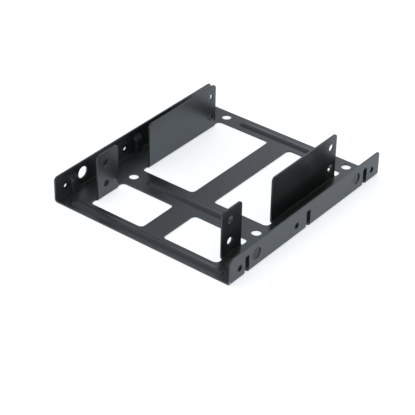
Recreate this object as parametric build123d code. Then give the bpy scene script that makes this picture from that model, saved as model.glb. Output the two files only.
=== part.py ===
from build123d import *
import os

# Drive bay adapter bracket: one steel sheet, blanked, pierced, pressed and folded.
# X runs across the bay, Y from the front edge to the rear edge and Z up.
# The origin is the middle of the underside. Lengths are in millimetres, and each
# "from front" is a distance from the front edge.

# Sheet and folds
sheet = 0.8
bend_inside = 0.7
bend_outside = bend_inside + sheet
corner = 2.0

# Channel that fills the 3.5 inch bay
bay_width = 101.6
flange_height = 13.0
flange_rear_corner = 1.4

# Two 2.5 inch drives, one over the other between the tabs
drive_width = 69.85
drive_clearance = 0.425
drive_hole_spacing = 76.6
drive_pitch = 11.1
lower_drive_hole_height = 7.1
drive_screw_hole = 3.6
driver_access_hole = 6.1

# Tabs that hold the drives, folded up out of the windows
tab_height = 24.2
front_tab_length = 14.0
front_tab_edge_to_hole = 5.75
rear_tab_edge_to_hole = 4.2
tab_inner_face = drive_width / 2 + drive_clearance
tab_fold_end = tab_inner_face + bend_outside

# Base: four bars between and around four windows
centre_bar = 11.8
front_bar = 8.7
middle_bar = 13.6
rear_bar = 10.05
relief_before_tab = 4.1
relief_behind_tab = 4.8
window_corner = 2.3

# Holes in the base, one pair in the middle bar and one pair in the rear bar
base_hole = 4.8
base_hole_spacing = 71.9
base_hole_to_rear_edge = 4.65

# Tapped holes in the flanges, spaced as in the side of a 3.5 inch drive,
# each with a low collar drawn inward that lengthens its thread
bay_screw_hole = 2.7
bay_hole_height = 5.75
collar_wall = 0.5
collar_height = 0.3
bay_hole_to_front_edge = 6.7
front_to_middle_bay_hole = 41.61
front_to_rear_bay_hole = 101.6

# Beads pressed up along the three cross bars
bead_hollow_width = 3.6
bead_height = 1.0
bead_foot = 0.4
front_bead_to_flange = 6.5
bead_to_base_hole = 6.5

# Short grooves pressed in across the fold of each flange, each a rib inside
groove_top = 9.5
groove_width = 3.1
groove_depth = 2.1
groove_rounding = 0.7

# Places along the bracket
front_tab = front_bar + relief_before_tab
front_hole = front_tab + front_tab_edge_to_hole
front_window_end = front_tab + front_tab_length + relief_behind_tab
rear_window = front_window_end + middle_bar
rear_tab = rear_window + relief_before_tab
rear_hole = front_hole + drive_hole_spacing
rear_tab_end = rear_hole + rear_tab_edge_to_hole
rear_window_end = rear_tab_end + relief_behind_tab
length = rear_window_end + rear_bar
middle_bar_centre = front_window_end + middle_bar / 2
rear_bar_centre = rear_window_end + rear_bar / 2
front_bay_hole = bay_hole_to_front_edge
middle_bay_hole = front_bay_hole + front_to_middle_bay_hole
rear_bay_hole = front_bay_hole + front_to_rear_bay_hole
front_groove = (front_bay_hole + bay_screw_hole / 2 + front_hole - driver_access_hole / 2) / 2
rear_groove = (rear_hole + driver_access_hole / 2 + rear_bay_hole - bay_screw_hole / 2) / 2
middle_groove = (front_groove + rear_groove) / 2


def at(x, from_front, height=0.0):
    """A place in the bracket."""
    return Pos(x, from_front - length / 2, height)


def both_sides(piece):
    """A piece and its mirror image on the other side of the centre line."""
    return [piece, mirror(piece, about=Plane.YZ)]


def folded_sheet(corners, span):
    """Sheet of this span along Y, folded along the outer corners of its end view."""
    outer_line = FilletPolyline(*corners, radius=bend_outside)
    end_view = make_face(offset(outer_line, amount=sheet, side=Side.RIGHT))
    return extrude(Plane.XZ * end_view, amount=span, dir=(0, 1, 0))


def round_top_corners(body, front_radius, rear_radius):
    """Rounds the front and rear corners at the top of the upright walls."""
    for end, radius in ((0, front_radius), (-1, rear_radius)):
        top_ends = body.edges().filter_by(Axis.X).group_by(Axis.Z)[-1]
        body = fillet(top_ends.group_by(Axis.Y)[end], radius)
    return body


def channel():
    """Base plate with a low flange on each side."""
    side = bay_width / 2
    corners = [(side, flange_height), (side, 0), (-side, 0), (-side, flange_height)]
    folded = folded_sheet(corners, length)
    return at(0, 0) * round_top_corners(folded, corner, flange_rear_corner)


def window(start, end):
    """Cutter for the window between the centre bar and the tab fold."""
    inner_edge = centre_bar / 2
    across = tab_fold_end - inner_edge
    outline = RectangleRounded(across, end - start, window_corner)
    middle = at(inner_edge + across / 2, (start + end) / 2)
    return extrude(middle * outline, amount=sheet)


def tab(start, end):
    """Tab folded up from the outer edge of a window."""
    rooted = tab_fold_end + sheet
    corners = [(rooted, 0), (tab_inner_face, 0), (tab_inner_face, tab_height)]
    folded = folded_sheet(corners, end - start)
    return at(0, start) * round_top_corners(folded, corner, corner)


def wall_hole(wall, from_front, height, diameter):
    """Cutter for a hole through the upright wall whose inner or outer face is here."""
    cutter = Cylinder(diameter / 2, 4 * sheet)
    return at(wall, from_front, height) * Rot(Y=90) * cutter


def wall_collar(wall, from_front, height):
    """Collar drawn inward from the flange whose outer face is here."""
    rooted = sheet / 2
    collar = Cylinder(
        bay_screw_hole / 2 + collar_wall, rooted + collar_height,
        align=(Align.CENTER, Align.CENTER, Align.MAX),
    )
    return at(wall - rooted, from_front, height) * Rot(Y=90) * collar


def rounded_ridge(half_run, radius, top, floor):
    """Ridge with domed ends, the part of a round bar that stands above a floor."""
    half_width = (radius ** 2 - (floor - top + radius) ** 2) ** 0.5
    rise = ThreePointArc((0, -half_width, floor), (0, 0, top), (0, half_width, floor))
    end_view = make_face([rise, Line(rise @ 1, rise @ 0)])
    half_view = make_face(
        Polyline((0, 0, top), (0, 0, floor), (0, half_width, floor)).edges()
        + [rise.trim(0.5, 1).edge()]
    )
    dome = revolve(half_view, Axis.Z, 360)
    ridge = extrude(end_view, amount=half_run, dir=(1, 0, 0), both=True)
    return ridge + Pos(half_run, 0, 0) * dome + Pos(-half_run, 0, 0) * dome


def bead(body, from_front, reach):
    """Presses a bead up out of a bar, with a hollow under it and a soft foot."""
    punch = (bead_hollow_width ** 2 / 4 + bead_height ** 2) / (2 * bead_height)
    outer = punch + sheet
    half_run = reach - (outer ** 2 - (outer - bead_height) ** 2) ** 0.5
    raised = at(0, from_front) * rounded_ridge(half_run, outer, bead_height + sheet, sheet / 2)
    hollow = at(0, from_front) * rounded_ridge(half_run, punch, bead_height, 0)
    with_bead = body + raised
    foot = new_edges(body, raised, combined=with_bead)
    return fillet(foot, bead_foot) - hollow


def groove_bar(depth, height, width, rounding, outer, bottom):
    """Upright bar with rounded inner edges, under a roof that slopes at 45 degrees."""
    side = bay_width / 2
    end_view = Polyline(
        (outer, bottom), (side - depth, bottom), (side - depth, height - depth),
        (outer, height + outer - side), close=True,
    )
    bar = extrude(Plane.XZ * make_face(end_view), amount=width / 2, both=True)
    inner_edges = [
        edge for edge in bar.edges()
        if edge.center().X < outer - rounding / 2 and edge.center().Z > bottom + rounding / 2
    ]
    return fillet(inner_edges, rounding)


def groove(body, from_front):
    """Presses a groove across the fold of both flanges: a dent outside, a rib inside."""
    side = bay_width / 2
    rooted = 0.75 * sheet
    dent = groove_bar(
        groove_depth, groove_top, groove_width, groove_rounding, side + sheet, -sheet
    )
    rib = groove_bar(
        groove_depth + sheet, groove_top + sheet * 2 ** 0.5, groove_width + 2 * sheet,
        groove_rounding + sheet, side - rooted, rooted,
    )
    body += both_sides(at(0, from_front) * rib)
    return body - both_sides(at(0, from_front) * dent)


def base_with_tabs():
    """Channel with its windows cut and the tabs folded up from them."""
    body = channel()
    body -= both_sides(window(front_bar, front_window_end))
    body -= both_sides(window(rear_window, rear_window_end))
    body += both_sides(tab(front_tab, front_tab + front_tab_length))
    body += both_sides(tab(rear_tab, rear_tab_end))
    return body


def pierce(body):
    """Cuts the screw holes and the holes that let a driver reach the lower screws."""
    flange = bay_width / 2
    for from_front in (front_bay_hole, middle_bay_hole, rear_bay_hole):
        collar = wall_collar(flange, from_front, bay_hole_height)
        hole = wall_hole(flange, from_front, bay_hole_height, bay_screw_hole)
        body = body + both_sides(collar) - both_sides(hole)
    for from_front in (front_hole, rear_hole):
        access = wall_hole(flange, from_front, lower_drive_hole_height, driver_access_hole)
        body -= both_sides(access)
        for drive in range(2):
            height = lower_drive_hole_height + drive * drive_pitch
            body -= both_sides(wall_hole(tab_inner_face, from_front, height, drive_screw_hole))
    for from_front in (middle_bar_centre, length - base_hole_to_rear_edge):
        hole = Cylinder(base_hole / 2, 4 * sheet)
        body -= both_sides(at(base_hole_spacing / 2, from_front) * hole)
    return body


def bracket():
    """The finished bracket."""
    body = base_with_tabs()
    between_holes = base_hole_spacing / 2 - base_hole / 2 - bead_to_base_hole
    body = bead(body, front_bar / 2, bay_width / 2 - front_bead_to_flange)
    body = bead(body, middle_bar_centre, between_holes)
    body = bead(body, rear_bar_centre, between_holes)
    for from_front in (front_groove, middle_groove, rear_groove):
        body = groove(body, from_front)
    return pierce(body)


os.makedirs("parts", exist_ok=True)
export_step(bracket().solid(), "parts/bracket.step")
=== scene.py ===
import math

import bpy
from mathutils import Matrix, Vector


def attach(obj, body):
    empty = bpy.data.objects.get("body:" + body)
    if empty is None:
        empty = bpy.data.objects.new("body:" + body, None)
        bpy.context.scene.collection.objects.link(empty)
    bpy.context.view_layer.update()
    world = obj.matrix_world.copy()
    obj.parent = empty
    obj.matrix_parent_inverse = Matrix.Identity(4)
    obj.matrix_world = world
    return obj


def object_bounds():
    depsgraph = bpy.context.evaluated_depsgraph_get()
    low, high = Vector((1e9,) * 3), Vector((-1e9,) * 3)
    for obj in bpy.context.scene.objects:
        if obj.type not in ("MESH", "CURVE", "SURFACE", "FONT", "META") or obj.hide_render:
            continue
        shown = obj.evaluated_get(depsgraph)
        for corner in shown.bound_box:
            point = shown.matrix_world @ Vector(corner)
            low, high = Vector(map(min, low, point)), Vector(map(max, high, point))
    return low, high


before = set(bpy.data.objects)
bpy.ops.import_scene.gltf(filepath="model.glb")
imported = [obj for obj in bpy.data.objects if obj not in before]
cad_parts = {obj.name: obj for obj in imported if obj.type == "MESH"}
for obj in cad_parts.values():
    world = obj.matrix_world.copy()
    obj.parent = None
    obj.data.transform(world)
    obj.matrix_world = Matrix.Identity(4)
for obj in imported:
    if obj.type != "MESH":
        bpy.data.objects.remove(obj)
cad_low, cad_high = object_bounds()

# The bracket: one steel sheet, pierced, pressed and folded, then sprayed with semi-gloss
# black paint and baked. The paint has a fine orange peel. Its cut edges are coloured lighter,
# a painted highlight for their slight rounding; a darker ring round each tapped hole is
# painted shade at the hole's mouth; a light spot on the front edge of a flange is a painted
# glint, and a tab has a small light spot.
MM = 0.001
bay_hole_radius = 1.35 * MM
bay_hole_height = 5.75 * MM
bay_holes_from_front = (6.7 * MM, 48.31 * MM, 108.3 * MM)
flange_reach = 1.3 * MM
paint_black = (0.0246, 0.0272, 0.0290, 1.0)
paint_dusty = (0.0323, 0.0349, 0.0363, 1.0)
# The specular tint gives the paint's reflections a cool cast: partly the paint's own tone,
# partly painted cool light.
paint_tint_and_cool_light = (0.70, 0.85, 1.0, 1.0)
paint_ior = 1.68
smooth_paint = 0.28
rough_paint = 0.36
cloud_size = 22 * MM
cloud_detail = 3
cloud_start = 0.35
cloud_end = 0.65
peel_size = 1.6 * MM
peel_detail = 1
peel_depth = 0.012 * MM
grit_size = 0.35 * MM
grit_detail = 2
grit_depth = 0.003 * MM
# The cut edges are coloured lighter grey: a painted highlight for their slight rounding.
edge_width = 0.15 * MM
flat_agreement = 0.96
edge_agreement = 0.82
edge_highlight_grey = (0.060, 0.063, 0.066, 1.0)
# A small light spot on a tab.
tab_light_spot = (-35.35 * MM, cad_low.y + 24.3 * MM, 6.0 * MM)
tab_light_spot_radius = 0.60 * MM
tab_light_spot_grey = (0.18, 0.185, 0.19, 1.0)
# A painted glint on the front edge of a flange, at its lower corner.
edge_glint = (50.6 * MM, cad_low.y, 1.4 * MM)
edge_glint_radius = 0.55 * MM
edge_glint_grey = (0.36, 0.37, 0.38, 1.0)
light_spot_fade = 0.15 * MM
# A darker, less shiny ring round each tapped hole on the flanges: painted shade at the hole's
# mouth.
rim_inner = 1.6 * MM
rim_outer = 1.95 * MM
rim_shade_black = (0.008, 0.008, 0.010, 1.0)
rim_shade_shine = 0.15
paint_shine = 0.5

paint = bpy.data.materials.new("black_paint")
paint.use_nodes = True
paint_nodes = paint.node_tree.nodes
paint_links = paint.node_tree.links
paint_shader = paint_nodes["Principled BSDF"]
paint_shader.inputs["IOR"].default_value = paint_ior
paint_shader.inputs["Specular Tint"].default_value = paint_tint_and_cool_light
on_sheet = paint_nodes.new("ShaderNodeTexCoord").outputs["Object"]


def paint_noise(size, detail):
    """Noise with features of about this size, in metres, fixed to the sheet."""
    noise = paint_nodes.new("ShaderNodeTexNoise")
    noise.inputs["Scale"].default_value = 1 / size
    noise.inputs["Detail"].default_value = detail
    paint_links.new(on_sheet, noise.inputs["Vector"])
    return noise.outputs["Fac"]


def paint_range(source, start, end, low, high):
    """Goes from low to high while the source goes from start to end."""
    spread = paint_nodes.new("ShaderNodeMapRange")
    spread.inputs["From Min"].default_value = start
    spread.inputs["From Max"].default_value = end
    spread.inputs["To Min"].default_value = low
    spread.inputs["To Max"].default_value = high
    paint_links.new(source, spread.inputs["Value"])
    return spread.outputs["Result"]


def paint_coat(base, mask, colour):
    """Lays another colour over the paint where the mask is one."""
    coat = paint_nodes.new("ShaderNodeMix")
    coat.data_type = "RGBA"
    coat.inputs["B"].default_value = colour
    paint_links.new(base, coat.inputs["A"])
    paint_links.new(mask, coat.inputs["Factor"])
    return coat.outputs["Result"]


def paint_math(operation, first, second):
    """Arithmetic on a mask and another mask or a number."""
    step = paint_nodes.new("ShaderNodeMath")
    step.operation = operation
    paint_links.new(first, step.inputs[0])
    if isinstance(second, float):
        step.inputs[1].default_value = second
    else:
        paint_links.new(second, step.inputs[1])
    return step.outputs["Value"]


def paint_spot(centre, inner, outer, directions=(1, 1, 1)):
    """One within the inner distance of a centre, fading out to the outer distance.
    The directions are one where a distance counts and zero where it doesn't."""
    kept = paint_nodes.new("ShaderNodeVectorMath")
    kept.operation = "MULTIPLY"
    kept.inputs[1].default_value = directions
    paint_links.new(on_sheet, kept.inputs[0])
    gap = paint_nodes.new("ShaderNodeVectorMath")
    gap.operation = "DISTANCE"
    gap.inputs[1].default_value = centre
    paint_links.new(kept.outputs["Vector"], gap.inputs[0])
    return paint_range(gap.outputs["Value"], outer, inner, 0, 1)


clouds = paint_noise(cloud_size, cloud_detail)
base_coat = paint_nodes.new("ShaderNodeMix")
base_coat.data_type = "RGBA"
base_coat.inputs["A"].default_value = paint_black
base_coat.inputs["B"].default_value = paint_dusty
paint_links.new(paint_range(clouds, cloud_start, cloud_end, 0, 1), base_coat.inputs["Factor"])

# Painted highlight: where the bevelled normal turns away from the flat one, at the cut edges,
# the colour goes lighter grey.
rounded = paint_nodes.new("ShaderNodeBevel")
rounded.inputs["Radius"].default_value = edge_width
flat = paint_nodes.new("ShaderNodeNewGeometry")
agreement = paint_nodes.new("ShaderNodeVectorMath")
agreement.operation = "DOT_PRODUCT"
paint_links.new(rounded.outputs["Normal"], agreement.inputs[0])
paint_links.new(flat.outputs["Normal"], agreement.inputs[1])
painted_edge_highlight = paint_range(agreement.outputs["Value"], flat_agreement, edge_agreement, 0, 1)
coloured = paint_coat(base_coat.outputs["Result"], painted_edge_highlight, edge_highlight_grey)

# A small light spot on a tab, and a painted glint on the front edge of a flange.
for light_spot, radius, grey in (
    (tab_light_spot, tab_light_spot_radius, tab_light_spot_grey),
    (edge_glint, edge_glint_radius, edge_glint_grey),
):
    light_spot_mask = paint_spot(light_spot, radius - light_spot_fade, radius + light_spot_fade)
    coloured = paint_coat(coloured, light_spot_mask, grey)

# Painted shade: the rings round the tapped holes, kept to the flanges, go darker and less
# shiny.
rim_shades = None
for from_front in bay_holes_from_front:
    hole_centre = (0, cad_low.y + from_front, bay_hole_height)
    rim_shade = paint_spot(hole_centre, rim_inner, rim_outer, directions=(0, 1, 1))
    rim_shades = paint_math("MAXIMUM", rim_shades, rim_shade) if rim_shades else rim_shade
apart = paint_nodes.new("ShaderNodeSeparateXYZ")
paint_links.new(on_sheet, apart.inputs["Vector"])
sideways = paint_math("ABSOLUTE", apart.outputs["X"], 0.0)
on_flange = paint_math("GREATER_THAN", sideways, cad_high.x - flange_reach)
shaded_rims = paint_math("MULTIPLY", rim_shades, on_flange)
coloured = paint_coat(coloured, shaded_rims, rim_shade_black)

peel = paint_nodes.new("ShaderNodeBump")
peel.inputs["Distance"].default_value = peel_depth
paint_links.new(paint_noise(peel_size, peel_detail), peel.inputs["Height"])
grit = paint_nodes.new("ShaderNodeBump")
grit.inputs["Distance"].default_value = grit_depth
paint_links.new(paint_noise(grit_size, grit_detail), grit.inputs["Height"])
paint_links.new(peel.outputs["Normal"], grit.inputs["Normal"])

roughness = paint_range(clouds, cloud_start, cloud_end, smooth_paint, rough_paint)
shine = paint_range(shaded_rims, 0, 1, paint_shine, rim_shade_shine)
paint_links.new(coloured, paint_shader.inputs["Base Color"])
paint_links.new(roughness, paint_shader.inputs["Roughness"])
paint_links.new(shine, paint_shader.inputs["Specular IOR Level"])
paint_links.new(grit.outputs["Normal"], paint_shader.inputs["Normal"])

for material_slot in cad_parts["bracket"].material_slots:
    material_slot.material = paint

# The threads in the six tapped holes of the flanges, which take the bay screws. Each is
# tapped through the sheet and its low collar, so it has only about one and a half turns.
# Paint has run into them and dried dull. Their colour is darker than the sheet's paint:
# painted shade in the holes.
tapped_depth = 1.1 * MM
thread_pitch = 0.794 * MM
thread_height = 0.16 * MM
thread_overlap = 0.03 * MM
thread_root_half = 0.34 * MM
thread_crest_half = 0.07 * MM
thread_inset = 0.02 * MM
steps_per_turn = 48
# The threads' darker colour is painted shade in the holes.
thread_shade_black = (0.0080, 0.0082, 0.0090, 1.0)
thread_roughness = 0.55
thread_shine = 0.25

thread_paint = bpy.data.materials.new("dull_paint_and_shade")
thread_paint.use_nodes = True
thread_shader = thread_paint.node_tree.nodes["Principled BSDF"]
thread_shader.inputs["Base Color"].default_value = thread_shade_black
thread_shader.inputs["Roughness"].default_value = thread_roughness
thread_shader.inputs["Specular IOR Level"].default_value = thread_shine


def thread(name, side, from_front):
    """Helical ridge round the inside of one tapped hole; side is 1 right and -1 left."""
    root = bay_hole_radius + thread_overlap
    crest = bay_hole_radius - thread_height
    profile = [
        (-thread_root_half, root), (-thread_crest_half, crest),
        (thread_crest_half, crest), (thread_root_half, root),
    ]
    travel = tapped_depth + 2 * thread_root_half
    steps = round(travel / thread_pitch * steps_per_turn)
    face = cad_high.x if side > 0 else cad_low.x
    centre_y = cad_low.y + from_front
    corners = []
    for step in range(steps + 1):
        turned = 2 * math.pi * step / steps_per_turn
        middle = travel * step / steps - thread_root_half
        for along, radius in profile:
            depth = min(max(middle + along, thread_inset), tapped_depth - thread_inset)
            corners.append((
                face - side * depth,
                centre_y + radius * math.cos(turned),
                bay_hole_height + radius * math.sin(turned) * side,
            ))
    sides = len(profile)
    faces = []
    for step in range(steps):
        here = sides * step
        for edge in range(sides):
            nearer = here + edge
            further = here + (edge + 1) % sides
            faces.append((nearer, further, further + sides, nearer + sides))
    mesh = bpy.data.meshes.new(name)
    mesh.from_pydata(corners, [], faces)
    mesh.materials.append(thread_paint)
    piece = bpy.data.objects.new(name, mesh)
    bpy.context.scene.collection.objects.link(piece)
    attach(piece, "root")


for hole, from_front in enumerate(bay_holes_from_front, 1):
    thread(f"thread_right_{hole}", 1, from_front)
    thread(f"thread_left_{hole}", -1, from_front)

# The table that the bracket stands on: a plain white sweep. It is white to the camera
# and in the paint's reflections, and it keeps the soft shadow under the bracket.
floor_half = 3.0
floor_gap = 0.05 * MM
floor_white = (0.66, 0.66, 0.66, 1.0)
floor_glow = (0.93, 0.965, 1.0, 1.0)
floor_lift = 0.68
matt = 1.0


def seen_ray(tree):
    """One for rays that come from the camera or from glossy or clear surfaces."""
    ray = tree.nodes.new("ShaderNodeLightPath")
    camera_or_glossy = tree.nodes.new("ShaderNodeMath")
    camera_or_glossy.operation = "MAXIMUM"
    tree.links.new(ray.outputs["Is Camera Ray"], camera_or_glossy.inputs[0])
    tree.links.new(ray.outputs["Is Glossy Ray"], camera_or_glossy.inputs[1])
    any_of_them = tree.nodes.new("ShaderNodeMath")
    any_of_them.operation = "MAXIMUM"
    tree.links.new(camera_or_glossy.outputs["Value"], any_of_them.inputs[0])
    tree.links.new(ray.outputs["Is Transmission Ray"], any_of_them.inputs[1])
    return any_of_them.outputs["Value"]


def square_board(name, half):
    """Flat square that faces up, with a matt material of its own and its shader."""
    mesh = bpy.data.meshes.new(name)
    corners = [(-half, -half, 0), (half, -half, 0), (half, half, 0), (-half, half, 0)]
    mesh.from_pydata(corners, [], [(0, 1, 2, 3)])
    board = bpy.data.objects.new(name, mesh)
    bpy.context.scene.collection.objects.link(board)
    surface = bpy.data.materials.new(name)
    surface.use_nodes = True
    mesh.materials.append(surface)
    shader = surface.node_tree.nodes["Principled BSDF"]
    shader.inputs["Roughness"].default_value = matt
    return board, shader


floor, floor_shader = square_board("floor", floor_half)
floor.location.z = cad_low.z - floor_gap
floor_shader.inputs["Base Color"].default_value = floor_white
floor_shader.inputs["Specular IOR Level"].default_value = 0
floor_shader.inputs["Emission Color"].default_value = floor_glow
floor_tree = floor_shader.id_data
lift = floor_tree.nodes.new("ShaderNodeMath")
lift.operation = "MULTIPLY"
lift.inputs[1].default_value = floor_lift
floor_tree.links.new(seen_ray(floor_tree), lift.inputs[0])
floor_tree.links.new(lift.outputs["Value"], floor_shader.inputs["Emission Strength"])

# The studio: white walls all round and three soft lamps. The box hangs above the bracket,
# the fill stands on its right, and the panel behind it on the left shows in the flat
# sheet as the slow change from the darker centre to the lighter right side.
room_light = 0.66
room_white = 0.52
wall_colour = (1.0, 1.0, 1.0, 1.0)
box_power = 3.2
box_size = 1.6
box_place = Vector((0.4, -0.3, 1.6))
panel_power = 2.5
panel_size = 1.0
panel_place = Vector((-0.33, 1.26, 0.92))
fill_power = 13.0
fill_size = 1.0
fill_place = Vector((1.4, 0.0, 0.5))

studio = bpy.data.worlds.new("studio")
studio.use_nodes = True
bpy.context.scene.world = studio
walls = studio.node_tree.nodes["Background"]
walls.inputs["Color"].default_value = wall_colour
wall_level = studio.node_tree.nodes.new("ShaderNodeMapRange")
wall_level.inputs["To Min"].default_value = room_light
wall_level.inputs["To Max"].default_value = room_white
studio.node_tree.links.new(seen_ray(studio.node_tree), wall_level.inputs["Value"])
studio.node_tree.links.new(wall_level.outputs["Result"], walls.inputs["Strength"])


def soft_lamp(name, power, size, place):
    """Square lamp that shines at the bracket."""
    lamp = bpy.data.lights.new(name, "AREA")
    lamp.shape = "SQUARE"
    lamp.size = size
    lamp.energy = power
    stand = bpy.data.objects.new(name, lamp)
    bpy.context.scene.collection.objects.link(stand)
    stand.location = place
    stand.rotation_euler = (-place).to_track_quat("-Z", "Y").to_euler()
    return stand


soft_box = soft_lamp("soft_box", box_power, box_size, box_place)
soft_box.visible_glossy = False
soft_lamp("lit_panel", panel_power, panel_size, panel_place)
fill_lamp = soft_lamp("fill_lamp", fill_power, fill_size, fill_place)
fill_lamp.visible_glossy = False

# Two matt cards out of the picture. The olive one behind the bracket and to its right
# darkens the inner folds and gives them an olive cast. The black one beside the camera
# darkens the ribs and folds a little.
rear_card_half = 0.75
rear_card_place = Vector((0.53, 0.68, 0.50))
rear_card_olive = (0.30, 0.285, 0.18, 1.0)
side_card_half = 0.50
side_card_place = Vector((0.84, -0.52, 0.80))
side_card_black = (0.02, 0.02, 0.02, 1.0)


def card(name, half, place, colour):
    """Square matt card that faces the bracket."""
    board, shader = square_board(name, half)
    board.location = place
    board.rotation_euler = (-place).to_track_quat("Z", "Y").to_euler()
    shader.inputs["Base Color"].default_value = colour


card("card_behind", rear_card_half, rear_card_place, rear_card_olive)
card("card_beside_camera", side_card_half, side_card_place, side_card_black)

# The camera: a long lens, in front of the bracket and to its right, looking down. Its
# focal length is in pixels of a picture of the photo's width.
camera_azimuth = math.radians(37.72)
camera_elevation = math.radians(34.01)
camera_tilt = math.radians(1.17)
camera_place = Vector((0.3734, -0.4910, 0.4051))
lens_pixels = 1583.0
photo_width = 415
sensor_width = 36.0

away = Vector((
    math.sin(camera_azimuth) * math.cos(camera_elevation),
    -math.cos(camera_azimuth) * math.cos(camera_elevation),
    math.sin(camera_elevation),
))
level_right = Vector((math.cos(camera_azimuth), math.sin(camera_azimuth), 0))
level_up = away.cross(level_right)
camera_right = math.cos(camera_tilt) * level_right + math.sin(camera_tilt) * level_up
camera_up = math.cos(camera_tilt) * level_up - math.sin(camera_tilt) * level_right

lens = bpy.data.cameras.new("camera")
lens.sensor_width = sensor_width
lens.lens = lens_pixels / photo_width * sensor_width
camera = bpy.data.objects.new("camera", lens)
bpy.context.scene.collection.objects.link(camera)
turn = Matrix((camera_right, camera_up, away)).transposed()
camera.matrix_world = Matrix.Translation(camera_place) @ turn.to_4x4()
bpy.context.scene.camera = camera
bpy.context.scene.view_settings.view_transform = "Standard"
